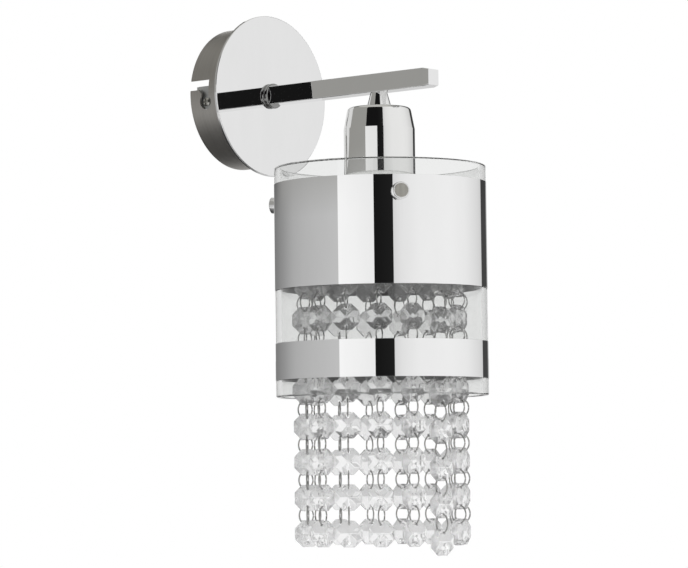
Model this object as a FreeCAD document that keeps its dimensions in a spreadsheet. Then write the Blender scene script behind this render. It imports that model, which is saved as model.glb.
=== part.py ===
import FreeCAD, Part
import math
import os
import re

import Sketcher
from FreeCAD import Placement, Rotation, Vector

# Crystal wall sconce, millimetres. The wall is the plane y = 0 and the light stands out
# towards -Y. The arm's axis runs along Y through the origin, and +Z is up.

# Driving dimensions: name, value, what it is.
SIZES = [
    ("wall_gap", 0.3, "canopy rim to wall"),
    ("canopy_depth", 25.4, "wall to the disc's face"),
    ("disc_lip", 5.65, "front disc's edge beyond the drum"),
    ("disc_thickness", 1.5, "front disc"),
    ("disc_round", 0.5, "rounding of the disc's front edge"),
    ("drum_dia", 79.0, "canopy drum, outside"),
    ("drum_wall", 1.0, "canopy drum"),
    ("drum_flange", 8.0, "inward flange that carries the disc"),
    ("entry_rise", 4.55, "middle of the left bayonet slot's mouth, above the arm's axis"),
    ("entry_lead", 2.1, "slope that widens the bayonet slot where its mouth ends"),
    ("head_play", 0.3, "locking screw head to the bayonet slot"),
    ("seat_play", 1.7, "locking screw head to the bayonet slot's round end"),
    ("lock_depth", 11.4, "wall to the locking screw's axis"),
    ("lock_drop", 5.0, "left locking screw below the arm's axis, the right one above"),
    ("lock_screw_dia", 3.0, "locking screw"),
    ("lock_head_dia", 4.8, "locking screw head"),
    ("lock_head_height", 1.8, "locking screw head"),
    ("lock_recess", 0.5, "head face below the drum's outside"),
    ("recess_share", 0.7, "cross recess, as a share of the screw head's width"),
    ("bracket_thickness", 1.5, "wall bracket strap"),
    ("bracket_width", 9.0, "wall bracket strap"),
    ("bracket_neck", 2.0, "notch in the strap's ends, from the tab inwards"),
    ("neck_rise", 1.8, "left tab's narrow foot, above the arm's axis"),
    ("tab_rise", 4.0, "left bent tab, above the arm's axis"),
    ("tab_edge", 3.6, "locking screw's axis to the bent tab's nearer side"),
    ("tab_reach", 18.0, "wall to the tab's end"),
    ("slot_margin", 10.7, "middle of a wall screw slot to the tab"),
    ("slot_length", 10.0, "wall screw slots, end to end"),
    ("slot_width", 4.5, "wall screw slots"),
    ("cable_eye_dia", 20.0, "widening round the supply cable hole"),
    ("cable_hole_dia", 12.0, "supply cable hole"),
    ("earth_offset", 15.0, "earth screw, from the centre"),
    ("earth_dia", 4.0, "earth screw"),
    ("earth_head_dia", 8.0, "earth screw head"),
    ("earth_head_height", 2.4, "earth screw head"),
    ("arm_size", 10.0, "square arm tube"),
    ("arm_wall", 1.0, "square arm tube"),
    ("arm_round", 0.4, "rounding of the tube's edges"),
    ("arm_tail", 38.5, "shade's axis to the arm's tip"),
    ("cap_length", 3.4, "end plug, outside the tube"),
    ("cap_bevel", 0.75, "how far the end plug narrows, each side"),
    ("plug_depth", 7.0, "end plug, inside the tube"),
    ("collar_margin", 2.05, "boss at the arm's foot, beyond the tube's sides"),
    ("collar_height", 2.6, "boss at the arm's foot"),
    ("collar_round", 0.8, "rounding of the boss"),
    ("spigot_depth", 8.0, "boss's spigot inside the tube"),
    ("stub_dia", 10.0, "threaded stub behind the disc"),
    ("stub_length", 8.4, "threaded stub behind the disc's face"),
    ("wire_bore_dia", 5.6, "bore for the lamp wires"),
    ("fit_gap", 0.05, "radial clearance of pieces that fit together"),
    ("strap_thickness", 1.0, "terminal strap"),
    ("strap_width", 14.0, "terminal strap"),
    ("strap_gap", 0.6, "terminal strap's corners to the drum's flange"),
    ("strap_head", 1.0, "terminal strap, above the fixing nut"),
    ("nut_across", 14.0, "arm fixing nut, across flats"),
    ("nut_height", 4.0, "arm fixing nut"),
    ("block_width", 26.0, "terminal block"),
    ("block_height", 15.0, "terminal block"),
    ("block_depth", 11.0, "terminal block"),
    ("block_margin", 1.1, "terminal block to the strap's lower end"),
    ("pole_pitch", 8.0, "terminal poles"),
    ("pole_screw_dia", 3.2, "terminal screws"),
    ("pole_groove", 1.2, "grooves between the terminal poles"),
    ("row_share", 0.27, "rows of terminal screws, share of the block's height"),
    ("wire_dia", 1.7, "lamp wire"),
    ("wire_spacing", 2.2, "lamp wires, centre to centre"),
    ("wire_bend", 5.0, "lamp wire, down into the nipple"),
    ("wire_turn", 4.0, "lamp wire, into the arm's foot"),
    ("wire_lane", 10.2, "wall to the wires' turn into the arm's foot"),
    ("shade_offset", 104.2, "wall to the shade's axis"),
    ("cone_top_dia", 9.2, "cone under the arm"),
    ("cone_base_dia", 13.7, "cone under the arm"),
    ("cone_height", 8.2, "cone under the arm"),
    ("nipple_dia", 7.0, "hollow nipple"),
    ("nipple_bore_dia", 4.6, "hollow nipple"),
    ("nipple_in_arm", 1.2, "nipple end above the tube's lower wall"),
    ("nipple_in_cup", 5.2, "nipple end below the cup's roof"),
    ("holder_nut_dia", 13.0, "round nut inside the cup"),
    ("holder_nut_height", 3.6, "round nut inside the cup"),
    ("cup_dia", 38.8, "lampholder cup"),
    ("cup_inset", 2.3, "lampholder cup, drawn in at its shoulder"),
    ("cup_round", 2.4, "lampholder cup, roof edge"),
    ("cup_taper", 12.0, "lampholder cup, roof to straight wall"),
    ("cup_gap", 3.8, "lampholder cup's rim to the lampholder's flange"),
    ("cup_wall", 0.8, "lampholder cup"),
    ("holder_dia", 26.0, "lampholder body"),
    ("holder_wall", 2.2, "lampholder cap's wall"),
    ("holder_cap_height", 18.0, "lampholder cap"),
    ("holder_flange_lip", 2.5, "lampholder flange beyond its outer thread"),
    ("holder_flange_height", 2.0, "lampholder flange"),
    ("holder_thread_dia", 28.0, "lampholder outer thread"),
    ("holder_thread_length", 15.0, "lampholder outer thread"),
    ("shell_wall", 1.2, "lampholder thread shell"),
    ("socket_dia", 14.2, "lamp socket bore"),
    ("shell_length", 20.0, "lampholder thread shell"),
    ("shell_setback", 2.0, "lampholder mouth to the shell"),
    ("contact_room", 3.5, "room for the centre contact above the shell"),
    ("contact_dia", 6.0, "centre contact"),
    ("carrier_drop", 68.0, "arm's axis to the top of the shade carrier"),
    ("carrier_thickness", 1.2, "shade carrier"),
    ("hub_margin", 1.5, "shade carrier's hub beyond the ring nut"),
    ("spider_arm_width", 10.0, "shade carrier's arms"),
    ("ring_nut_wall", 5.5, "shade ring nut, beyond the thread"),
    ("ring_nut_height", 8.0, "shade ring nut"),
    ("shade_dia", 115.0, "glass cylinder, outside"),
    ("glass_wall", 3.0, "glass cylinder"),
    ("glass_round", 0.9, "fire-polished edges"),
    ("shade_drop", 45.75, "arm's axis to the glass's top"),
    ("shade_height", 124.5, "glass cylinder"),
    ("band_skin", 0.2, "mirror band, thickness"),
    ("band_margin", 9.2, "glass's top to the wide band"),
    ("wide_band", 57.5, "wide band, height"),
    ("clear_band", 28.8, "clear glass between the bands"),
    ("narrow_band", 19.9, "narrow band, height"),
    ("stud_rise", 4.0, "shade carrier to the shade studs"),
    ("stud_dia", 4.0, "shade stud"),
    ("stud_head_dia", 7.0, "shade stud head"),
    ("stud_head_height", 1.2, "shade stud head"),
    ("stud_play", 0.5, "stud to the edge of its hole in the glass"),
    ("tab_margin", 6.0, "stud to the top of the carrier's turned-up end"),
    ("spacer_dia", 6.4, "spacer between carrier and glass"),
    ("spacer_length", 2.7, "spacer between carrier and glass"),
    ("washer_dia", 8.6, "washer under the thumb nut"),
    ("washer_thickness", 0.8, "washer under the thumb nut"),
    ("thumb_dia", 9.1, "thumb nut"),
    ("thumb_length", 5.0, "thumb nut"),
    ("thumb_round", 0.5, "thumb nut's front edge"),
    ("thumb_gap", 0.3, "thumb nut to washer"),
    ("thumb_face", 0.9, "thumb nut's closed end"),
    ("chain_gap", 12.0, "chains' centres to the glass"),
    ("hoop_thickness", 1.0, "hoop that the chains hang from"),
    ("hoop_height", 9.4, "hoop"),
    ("hoop_hole_rise", 2.2, "hoop's lower edge to its holes"),
    ("hoop_hole_play", 0.7, "ring's wire to the edge of its hole in the hoop"),
    ("bead_size", 14.0, "crystal, across flats"),
    ("bead_thickness", 6.4, "crystal, at its middle"),
    ("bead_girdle", 1.8, "crystal, at its rim"),
    ("bead_star", 4.6, "crystal, radius of the star's inner points"),
    ("bead_hole_edge", 2.2, "crystal's edge to the middle of its holes"),
    ("bead_hole_play", 0.5, "ring's wire to the edge of the crystal's hole"),
    ("link_dia", 9.5, "wire ring, centre line"),
    ("link_wire", 0.8, "wire ring, wire"),
    ("loose_link_extra", 0.56, "wider rings of the chain that hangs lower"),
]

# Whole numbers and angles that aren't lengths.
STUD_COUNT = 3
FIRST_STUD_ANGLE = 110.5
CHAIN_COUNT = 15
FIRST_CHAIN_ANGLE = 218.5
BEADS_PER_CHAIN = 9
LOOSE_CHAIN = 3
BEAD_SIDES = 8

# How far each chain turns about its own length, over its first rings and crystals.
CHAIN_TURNS = [-18, 9, -11, -20, 25, 42, -5, -31, 11, -28, -39, -28, 70, 27, 26]
TURNING_PLACES = 6

# Places that follow from the sizes.
PLACES = {
    "disc_back": "canopy_depth - disc_thickness",
    "drum_radius": "drum_dia / 2",
    "drum_inside": "drum_radius - drum_wall",
    "disc_radius": "drum_radius + disc_lip",
    "flange_inside": "drum_radius - drum_flange",
    "strap_corner": "flange_inside - strap_gap",
    "strap_foot": "sqrt(strap_corner * strap_corner - strap_width * strap_width / 4)",
    "block_base": "strap_foot - block_margin",
    "block_top": "block_base - block_height",
    "head_face": "drum_radius - lock_recess",
    "head_seat": "head_face - lock_head_height",
    "tab_inside": "head_seat - bracket_thickness",
    "tab_shoulder": "2 * lock_depth - tab_reach",
    "neck_start": "tab_inside - bracket_neck",
    "channel_half": "lock_head_dia / 2 + head_play",
    "entry_low": "entry_rise - channel_half",
    "entry_high": "entry_rise + channel_half",
    "slot_place": "tab_inside - slot_margin",
    "arm_half": "arm_size / 2",
    "arm_inside": "arm_size - 2 * arm_wall",
    "arm_foot": "canopy_depth + collar_height",
    "arm_reach": "shade_offset + arm_tail",
    "collar_radius": "arm_half + collar_margin",
    "tube_length": "arm_reach - cap_length - arm_foot",
    "cone_base": "arm_half + cone_height",
    "cup_radius": "cup_dia / 2",
    "shoulder_radius": "cup_radius - cup_inset",
    "flange_top": "carrier_drop - holder_flange_height",
    "cup_rim": "flange_top - cup_gap",
    "roof_under": "cone_base + cup_wall",
    "nut_under": "roof_under + holder_nut_height",
    "nipple_top": "arm_half - arm_wall - nipple_in_arm",
    "nipple_end": "roof_under + nipple_in_cup",
    "holder_mouth": "carrier_drop + holder_thread_length",
    "cap_base": "nut_under + holder_cap_height",
    "shell_mouth": "holder_mouth - shell_setback",
    "shell_top": "shell_mouth - shell_length",
    "well_top": "shell_top - contact_room",
    "carrier_under": "carrier_drop + carrier_thickness",
    "thread_radius": "holder_thread_dia / 2",
    "ring_nut_radius": "thread_radius + ring_nut_wall",
    "hub_radius": "ring_nut_radius + hub_margin",
    "shell_radius": "socket_dia / 2 + shell_wall",
    "ring_nut_under": "carrier_under + ring_nut_height",
    "shade_radius": "shade_dia / 2",
    "glass_inside": "shade_radius - glass_wall",
    "shade_base": "shade_drop + shade_height",
    "wide_top": "shade_drop + band_margin",
    "wide_base": "wide_top + wide_band",
    "narrow_top": "wide_base + clear_band",
    "narrow_base": "narrow_top + narrow_band",
    "band_outside": "shade_radius + band_skin",
    "stud_drop": "carrier_drop - stud_rise",
    "tab_top": "stud_drop - tab_margin",
    "spacer_face": "sqrt(glass_inside * glass_inside - spacer_dia * spacer_dia / 4)",
    "tab_face": "spacer_face - spacer_length",
    "tab_back": "tab_face - carrier_thickness",
    "washer_face": "band_outside + washer_thickness",
    "thumb_foot": "washer_face + thumb_gap",
    "stud_end": "thumb_foot + thumb_length - thumb_face - thumb_gap",
    "chain_radius": "glass_inside - chain_gap",
    "hoop_base": "carrier_under + hoop_height",
    "hook_drop": "hoop_base - hoop_hole_rise",
    "hoop_hole_dia": "link_wire + 2 * hoop_hole_play",
    "bead_hole_dia": "link_wire + 2 * bead_hole_play",
    "bead_hole_pitch": "bead_size - 2 * bead_hole_edge",
}

doc = FreeCAD.newDocument("crystal_wall_sconce")
sheet = doc.addObject("Spreadsheet::Sheet", "Sizes")
for row, (alias, number, note) in enumerate(SIZES, start=1):
    sheet.set("A%d" % row, alias)
    sheet.set("B%d" % row, str(number))
    sheet.set("C%d" % row, note)
    sheet.setAlias("B%d" % row, alias)
doc.recompute()

ALIASES = {alias for alias, number, note in SIZES}
parts = []


def sized(text):
    """Write a formula of sizes and places as one that the sheet's cells drive."""
    def spell(match):
        word = match.group()
        if word in PLACES:
            return "(" + sized(PLACES[word]) + ")"
        return "Sizes." + word if word in ALIASES else word
    return re.sub(r"[a-z_]+", spell, text)


def value(text):
    """The present value of such a formula."""
    return float(sheet.evalExpression(sized(text).replace("Sizes.", "")))


def keep(item):
    """Count a finished sub-part among those that are written out."""
    parts.append(item)
    return item


# ---- helpers for bodies and sketches ----

def new_body(label, y="0", z="0"):
    body = doc.addObject("PartDesign::Body", label)
    body.Label = label
    body.setExpression("Placement.Base.y", sized(y))
    body.setExpression("Placement.Base.z", sized(z))
    return body


def new_sketch(body, plane, offset="0"):
    sketch = body.newObject("Sketcher::SketchObject", body.Label + "_sketch")
    origin_plane = [f for f in body.Origin.OriginFeatures if f.Role == plane][0]
    sketch.AttachmentSupport = [(origin_plane, "")]
    sketch.MapMode = "FlatFace"
    sketch.setExpression("AttachmentOffset.Base.z", sized(offset))
    return sketch


def bind(sketch, constraint, formula):
    index = sketch.addConstraint(constraint)
    sketch.setExpression("Constraints[%d]" % index, sized(formula))


def pin_point(sketch, geometry, point, x, y):
    """Hold a sketch point at two formulas, measured from the sketch's origin."""
    bind(sketch, Sketcher.Constraint("DistanceX", -1, 1, geometry, point, value(x)), x)
    bind(sketch, Sketcher.Constraint("DistanceY", -1, 1, geometry, point, value(y)), y)


def draw_outline(sketch, corners):
    """A closed outline of straight sides through corners given as pairs of formulas."""
    spots = [Vector(value(x), value(y), 0) for x, y in corners]
    lines = []
    for start, end in zip(spots, spots[1:] + spots[:1]):
        lines.append(sketch.addGeometry(Part.LineSegment(start, end)))
    for line, following in zip(lines, lines[1:] + lines[:1]):
        sketch.addConstraint(Sketcher.Constraint("Coincident", line, 2, following, 1))
    for line, (x, y) in zip(lines, corners):
        pin_point(sketch, line, 1, x, y)


def draw_box(sketch, left, right, low, high):
    draw_outline(sketch, [(left, low), (right, low), (right, high), (left, high)])


def draw_circle(sketch, x, y, diameter):
    centre = Vector(value(x), value(y), 0)
    radius = value(diameter) / 2
    circle = sketch.addGeometry(Part.Circle(centre, Vector(0, 0, 1), radius))
    pin_point(sketch, circle, 3, x, y)
    bind(sketch, Sketcher.Constraint("Diameter", circle, 2 * radius), diameter)


def revolve(body, sketch):
    turned = body.newObject("PartDesign::Revolution", body.Label + "_turned")
    turned.Profile = sketch
    turned.ReferenceAxis = (sketch, ["V_Axis"])
    turned.Angle = 360
    body.Tip = turned
    doc.recompute()
    return turned


def pad(body, sketch, length, midplane=False, reverse=False):
    feature = body.newObject("PartDesign::Pad", body.Label + "_pad")
    feature.Profile = sketch
    feature.setExpression("Length", sized(length))
    feature.Midplane = midplane
    feature.Reversed = reverse
    body.Tip = feature
    doc.recompute()
    return feature


def pocket(body, sketch, length, midplane=False, reverse=False):
    """Cut a pocket, and make sure that it takes something away."""
    before = body.Shape.Volume
    feature = body.newObject("PartDesign::Pocket", body.Label + "_pocket")
    feature.Profile = sketch
    feature.setExpression("Length", sized(length))
    feature.Midplane = midplane
    feature.Reversed = reverse
    body.Tip = feature
    doc.recompute()
    if not body.Shape.Volume < before:
        raise RuntimeError(body.Label + ": a pocket cut nothing")
    return feature


def polar_pattern(body, features, count):
    """Repeat features round the body's own upright axis."""
    pattern = body.newObject("PartDesign::PolarPattern", body.Label + "_pattern")
    pattern.Originals = features
    upright = [f for f in body.Origin.OriginFeatures if f.Role == "Z_Axis"][0]
    pattern.Axis = (upright, [""])
    pattern.Angle = 360
    pattern.Occurrences = count
    body.Tip = pattern
    doc.recompute()
    return pattern


def edge_names(feature, wanted):
    """Names of the feature's edges whose middle passes a test."""
    names = []
    for number, edge in enumerate(feature.Shape.Edges, start=1):
        middle = edge.valueAt((edge.FirstParameter + edge.LastParameter) / 2)
        if wanted(edge, middle):
            names.append("Edge%d" % number)
    return names


def round_edges(body, feature, wanted, radius):
    fillet = body.newObject("PartDesign::Fillet", body.Label + "_fillet")
    fillet.Base = (feature, edge_names(feature, wanted))
    fillet.setExpression("Radius", sized(radius))
    body.Tip = fillet
    doc.recompute()
    return fillet


def turned_part(label, corners, along_arm=False):
    """A turned body: corners are (radius, height), or (radius, y) about the arm's axis."""
    body = new_body(label, y="0" if along_arm else "-shade_offset")
    sketch = new_sketch(body, "XY_Plane" if along_arm else "XZ_Plane")
    draw_outline(sketch, corners)
    revolve(body, sketch)
    return body


def is_circle_at(height, radius, upright=True):
    """Test for a full circular edge at a height (or y) and of a radius."""
    def wanted(edge, middle):
        level = middle.z if upright else middle.y
        if not hasattr(edge.Curve, "Radius"):
            return False
        return abs(level - height) < 1e-4 and abs(edge.Curve.Radius - radius) < 1e-4
    return wanted


def copies(unit, placements):
    """Copies of one piece, one at each place."""
    shapes = []
    for place in placements:
        copy = unit.Shape.copy()
        copy.Placement = place.multiply(unit.Shape.Placement)
        shapes.append(copy)
    return shapes


def gathered(label, shapes):
    """Separate pieces, as one sub-part."""
    group = doc.addObject("Part::Feature", label)
    group.Label = label
    group.Shape = Part.makeCompound(shapes)
    return keep(group)


# ---- wall bracket and its screws ----

def make_wall_bracket():
    body = new_body("wall_bracket")
    half_strap = "bracket_width / 2"
    strap = new_sketch(body, "XZ_Plane")
    draw_outline(strap, [("-head_seat", "-" + half_strap), ("neck_start", "-" + half_strap),
                         ("neck_start", "-neck_rise"), ("head_seat", "-neck_rise"),
                         ("head_seat", half_strap), ("-neck_start", half_strap),
                         ("-neck_start", "neck_rise"), ("-head_seat", "neck_rise")])
    pad(body, strap, "bracket_thickness")
    eye = new_sketch(body, "XZ_Plane")
    draw_circle(eye, "0", "0", "cable_eye_dia")
    pad(body, eye, "bracket_thickness")
    for start, up, down in (("-head_seat", "", "-"), ("tab_inside", "-", "")):
        tab = new_sketch(body, "YZ_Plane", start)
        neck_top, tab_top = up + "neck_rise", up + "tab_rise"
        neck_foot, tab_foot = down + half_strap, down + "(lock_drop + tab_edge)"
        draw_outline(tab, [("0", neck_foot), ("-tab_shoulder", neck_foot),
                           ("-tab_shoulder", tab_foot), ("-tab_reach", tab_foot),
                           ("-tab_reach", tab_top), ("-tab_shoulder", tab_top),
                           ("-tab_shoulder", neck_top), ("0", neck_top)])
        pad(body, tab, "bracket_thickness")
        hole = new_sketch(body, "YZ_Plane", start)
        draw_circle(hole, "-lock_depth", down + "lock_drop", "lock_screw_dia + 2 * fit_gap")
        pocket(body, hole, "4 * bracket_thickness", midplane=True)
    cable = new_sketch(body, "XZ_Plane")
    draw_circle(cable, "0", "0", "cable_hole_dia")
    draw_circle(cable, "-earth_offset", "0", "earth_dia + 2 * fit_gap")
    pocket(body, cable, "4 * bracket_thickness", midplane=True)
    for side in ("-", ""):
        slot = new_sketch(body, "XZ_Plane")
        centre = side + "slot_place"
        flat = "(slot_length - slot_width) / 2"
        draw_box(slot, centre + " - " + flat, centre + " + " + flat,
                 "-slot_width / 2", "slot_width / 2")
        pocket(body, slot, "4 * bracket_thickness", midplane=True)
        for end in (" - ", " + "):
            rounding = new_sketch(body, "XZ_Plane")
            draw_circle(rounding, centre + end + flat, "0", "slot_width")
            pocket(body, rounding, "4 * bracket_thickness", midplane=True)
    return keep(body)


def make_cross_recess(body, face, head_dia, depth):
    """Two crossed grooves in a screw's head."""
    reach = "recess_share * %s / 2" % head_dia
    half_groove = "recess_share * %s / 7" % head_dia
    for wide, tall in ((reach, half_groove), (half_groove, reach)):
        groove = new_sketch(body, "XY_Plane", face)
        draw_box(groove, "-" + wide, wide, "-" + tall, tall)
        pocket(body, groove, depth)


def make_screw_unit(label, shank_dia, shank_length, head_dia, head_height):
    """A screw along Z, its head seated at z = 0 and its face up."""
    body = new_body(label)
    sketch = new_sketch(body, "XZ_Plane")
    draw_outline(sketch, [("0", "-" + shank_length), (shank_dia + " / 2", "-" + shank_length),
                          (shank_dia + " / 2", "0"), (head_dia + " / 2", "0"),
                          (head_dia + " / 2", "0.6 * " + head_height),
                          (head_dia + " / 2 - 0.4 * " + head_height, head_height),
                          ("0", head_height)])
    revolve(body, sketch)
    make_cross_recess(body, head_height, head_dia, "0.6 * " + head_height)
    return body


def make_canopy_screws():
    unit = make_screw_unit("canopy_screw_unit", "lock_screw_dia", "3 * bracket_thickness",
                           "lock_head_dia", "lock_head_height")
    places = []
    for side in (-1, 1):
        level = side * value("lock_drop")
        spot = Vector(side * value("head_seat"), -value("lock_depth"), level)
        places.append(Placement(spot, Rotation(Vector(0, 0, 1), Vector(side, 0, 0))))
    return gathered("canopy_screws", copies(unit, places))


def make_earth_screw():
    unit = make_screw_unit("earth_screw_unit", "earth_dia", "bracket_thickness",
                           "earth_head_dia", "earth_head_height")
    spot = Vector(-value("earth_offset"), -value("bracket_thickness"), 0)
    forwards = Rotation(Vector(0, 0, 1), Vector(0, -1, 0))
    return gathered("earth_screw", copies(unit, [Placement(spot, forwards)]))


# ---- canopy ----

def make_canopy_drum():
    body = turned_part("canopy_drum", [
        ("drum_radius", "-wall_gap"), ("drum_radius", "-disc_back"),
        ("flange_inside", "-disc_back"),
        ("flange_inside", "-(disc_back - drum_wall)"),
        ("drum_inside", "-(disc_back - drum_wall)"), ("drum_inside", "-wall_gap")],
        along_arm=True)
    front = "-(lock_depth + channel_half)"
    back = "-(lock_depth - channel_half)"
    lead = back + " + entry_lead"
    for up, down, reverse in (("", "-", False), ("-", "", True)):
        seat = new_sketch(body, "YZ_Plane")
        draw_circle(seat, "-lock_depth", down + "lock_drop", "lock_head_dia + 2 * seat_play")
        pocket(body, seat, "drum_dia", reverse=reverse)
        mouth_low, mouth_high = up + "entry_low", up + "entry_high"
        slot = new_sketch(body, "YZ_Plane")
        draw_outline(slot, [("0", mouth_high), (front, mouth_high), (front, down + "lock_drop"),
                            (back, down + "lock_drop"), (back, up + "(entry_low - entry_lead)"),
                            (lead, mouth_low), ("0", mouth_low)])
        pocket(body, slot, "drum_dia", reverse=reverse)
    return keep(body)


def make_canopy_disc():
    body = turned_part("canopy_disc", [
        ("stub_dia / 2 + fit_gap", "-disc_back"), ("disc_radius", "-disc_back"),
        ("disc_radius", "-canopy_depth"), ("stub_dia / 2 + fit_gap", "-canopy_depth")],
        along_arm=True)
    front = is_circle_at(-value("canopy_depth"), value("disc_radius"), upright=False)
    round_edges(body, body.Tip, front, "disc_round")
    return keep(body)


def make_arm_collar():
    spigot = "arm_inside / 2"
    body = turned_part("arm_collar", [
        ("wire_bore_dia / 2", "-(canopy_depth - stub_length)"),
        ("stub_dia / 2", "-(canopy_depth - stub_length)"),
        ("stub_dia / 2", "-canopy_depth"), ("collar_radius", "-canopy_depth"),
        ("collar_radius", "-arm_foot"), (spigot, "-arm_foot"),
        (spigot, "-(arm_foot + spigot_depth)"),
        ("wire_bore_dia / 2", "-(arm_foot + spigot_depth)")], along_arm=True)
    rim = value("collar_radius")
    levels = (-value("canopy_depth"), -value("arm_foot"))

    def wanted(edge, middle):
        return any(is_circle_at(level, rim, upright=False)(edge, middle) for level in levels)
    round_edges(body, body.Tip, wanted, "collar_round")
    return keep(body)


def make_arm_fixing_nut():
    body = new_body("arm_fixing_nut", y="-(disc_back - strap_thickness)")
    sketch = new_sketch(body, "XZ_Plane")
    corner = "(nut_across / sqrt(3))"
    half = "(nut_across / 2)"
    draw_outline(sketch, [(corner, "0"), (corner + " / 2", half), ("-" + corner + " / 2", half),
                          ("-" + corner, "0"), ("-" + corner + " / 2", "-" + half),
                          (corner + " / 2", "-" + half)])
    pad(body, sketch, "nut_height", reverse=True)
    hole = new_sketch(body, "XZ_Plane")
    draw_circle(hole, "0", "0", "stub_dia + 2 * fit_gap")
    pocket(body, hole, "3 * nut_height", midplane=True)
    return keep(body)


def make_terminal_strap():
    body = new_body("terminal_strap", y="-disc_back")
    sketch = new_sketch(body, "XZ_Plane")
    draw_box(sketch, "-strap_width / 2", "strap_width / 2",
             "-strap_foot", "nut_across / 2 + strap_head")
    pad(body, sketch, "strap_thickness", reverse=True)
    hole = new_sketch(body, "XZ_Plane")
    draw_circle(hole, "0", "0", "stub_dia + 2 * fit_gap")
    pocket(body, hole, "3 * strap_thickness", midplane=True)
    return keep(body)


def make_terminal_block():
    body = new_body("terminal_block", y="-(disc_back - strap_thickness)")
    sketch = new_sketch(body, "XZ_Plane")
    draw_box(sketch, "-block_width / 2", "block_width / 2",
             "-block_base", "-block_top")
    pad(body, sketch, "block_depth", reverse=True)
    for pole in ("-pole_pitch", "0", "pole_pitch"):
        tower = new_sketch(body, "XZ_Plane", "-block_depth")
        for row in ("row_share", "(1 - row_share)"):
            level = "-(block_top + " + row + " * block_height)"
            draw_circle(tower, pole, level, "pole_screw_dia + 2 * fit_gap")
        pocket(body, tower, "0.5 * block_depth", reverse=True)
    for line in ("-pole_pitch / 2", "pole_pitch / 2"):
        groove = new_sketch(body, "XZ_Plane", "-block_depth")
        draw_box(groove, line + " - pole_groove / 2", line + " + pole_groove / 2",
                 "-block_base", "-block_top")
        pocket(body, groove, "0.35 * block_depth", reverse=True)
    return keep(body)


def make_terminal_screws():
    unit = new_body("terminal_screw_unit")
    sketch = new_sketch(unit, "XY_Plane")
    draw_circle(sketch, "0", "0", "pole_screw_dia")
    pad(unit, sketch, "0.4 * block_depth")
    make_cross_recess(unit, "0.4 * block_depth", "pole_screw_dia", "0.1 * block_depth")
    outwards = Rotation(Vector(0, 0, 1), Vector(0, 1, 0))
    floor = -value("disc_back - strap_thickness - 0.5 * block_depth")
    places = []
    for pole in (-1, 0, 1):
        for share in (value("row_share"), 1 - value("row_share")):
            level = -(value("block_top") + share * value("block_height"))
            places.append(Placement(Vector(pole * value("pole_pitch"), floor, level), outwards))
    return gathered("terminal_screws", copies(unit, places))


# ---- arm ----

def make_arm_tube():
    body = new_body("arm_tube", y="-arm_foot")
    sketch = new_sketch(body, "XZ_Plane")
    draw_box(sketch, "-arm_half", "arm_half", "-arm_half", "arm_half")
    outer = pad(body, sketch, "tube_length")
    half = value("arm_half")

    def long_edge(edge, middle):
        at_corner = abs(abs(middle.x) - half) < 1e-4 and abs(abs(middle.z) - half) < 1e-4
        return at_corner and edge.Length > 2 * half
    round_edges(body, outer, long_edge, "arm_round")
    bore = new_sketch(body, "XZ_Plane")
    draw_box(bore, "-arm_inside / 2", "arm_inside / 2", "-arm_inside / 2", "arm_inside / 2")
    pocket(body, bore, "3 * tube_length", midplane=True)
    drop = new_sketch(body, "XY_Plane")
    draw_circle(drop, "0", "-(shade_offset - arm_foot)", "nipple_dia + 2 * fit_gap")
    pocket(body, drop, "arm_size")
    return keep(body)


def make_arm_end_plug():
    body = new_body("arm_end_plug", y="-(arm_reach - cap_length)")
    cap = new_sketch(body, "XZ_Plane")
    draw_box(cap, "-arm_half", "arm_half", "-arm_half", "arm_half")
    head = pad(body, cap, "cap_length")
    head.setExpression("TaperAngle", "-atan(%s)" % sized("cap_bevel / cap_length"))
    doc.recompute()

    def slanted_edge(edge, middle):
        return abs(abs(middle.x) - abs(middle.z)) < 1e-4 and abs(middle.x) > 1e-4
    round_edges(body, head, slanted_edge, "arm_round")
    stem = new_sketch(body, "XZ_Plane")
    inside = "(arm_inside / 2 - fit_gap)"
    draw_box(stem, "-" + inside, inside, "-" + inside, inside)
    pad(body, stem, "plug_depth", reverse=True)
    return keep(body)


# ---- lampholder ----

def make_holder_cone():
    bore = "nipple_dia / 2 + fit_gap"
    return keep(turned_part("holder_cone", [
        (bore, "-arm_half"), ("cone_top_dia / 2", "-arm_half"),
        ("cone_base_dia / 2", "-cone_base"), (bore, "-cone_base")]))


def make_holder_fixing():
    """The hollow nipple that holds the cup, and its nut inside the cup."""
    nipple = turned_part("holder_nipple_unit", [
        ("nipple_bore_dia / 2", "-nipple_top"), ("nipple_dia / 2", "-nipple_top"),
        ("nipple_dia / 2", "-nipple_end"), ("nipple_bore_dia / 2", "-nipple_end")])
    bore = "nipple_dia / 2 + fit_gap"
    nut = turned_part("holder_nut_unit", [
        (bore, "-roof_under"), ("holder_nut_dia / 2", "-roof_under"),
        ("holder_nut_dia / 2", "-nut_under"), (bore, "-nut_under")])
    return gathered("holder_fixing", [nipple.Shape.copy(), nut.Shape.copy()])


def make_holder_cup():
    bore = "nipple_dia / 2 + fit_gap"
    body = turned_part("holder_cup", [
        (bore, "-cone_base"), ("shoulder_radius", "-cone_base"),
        ("cup_radius", "-(cone_base + cup_taper)"), ("cup_radius", "-cup_rim"),
        ("cup_radius - cup_wall", "-cup_rim"),
        ("cup_radius - cup_wall", "-(cone_base + cup_taper)"),
        ("shoulder_radius - cup_wall", "-roof_under"), (bore, "-roof_under")])
    shoulder = is_circle_at(-value("cone_base"), value("shoulder_radius"))
    outer = round_edges(body, body.Tip, shoulder, "cup_round")
    lining = is_circle_at(-value("roof_under"), value("shoulder_radius - cup_wall"))
    round_edges(body, outer, lining, "cup_round - cup_wall")
    return keep(body)


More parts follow.
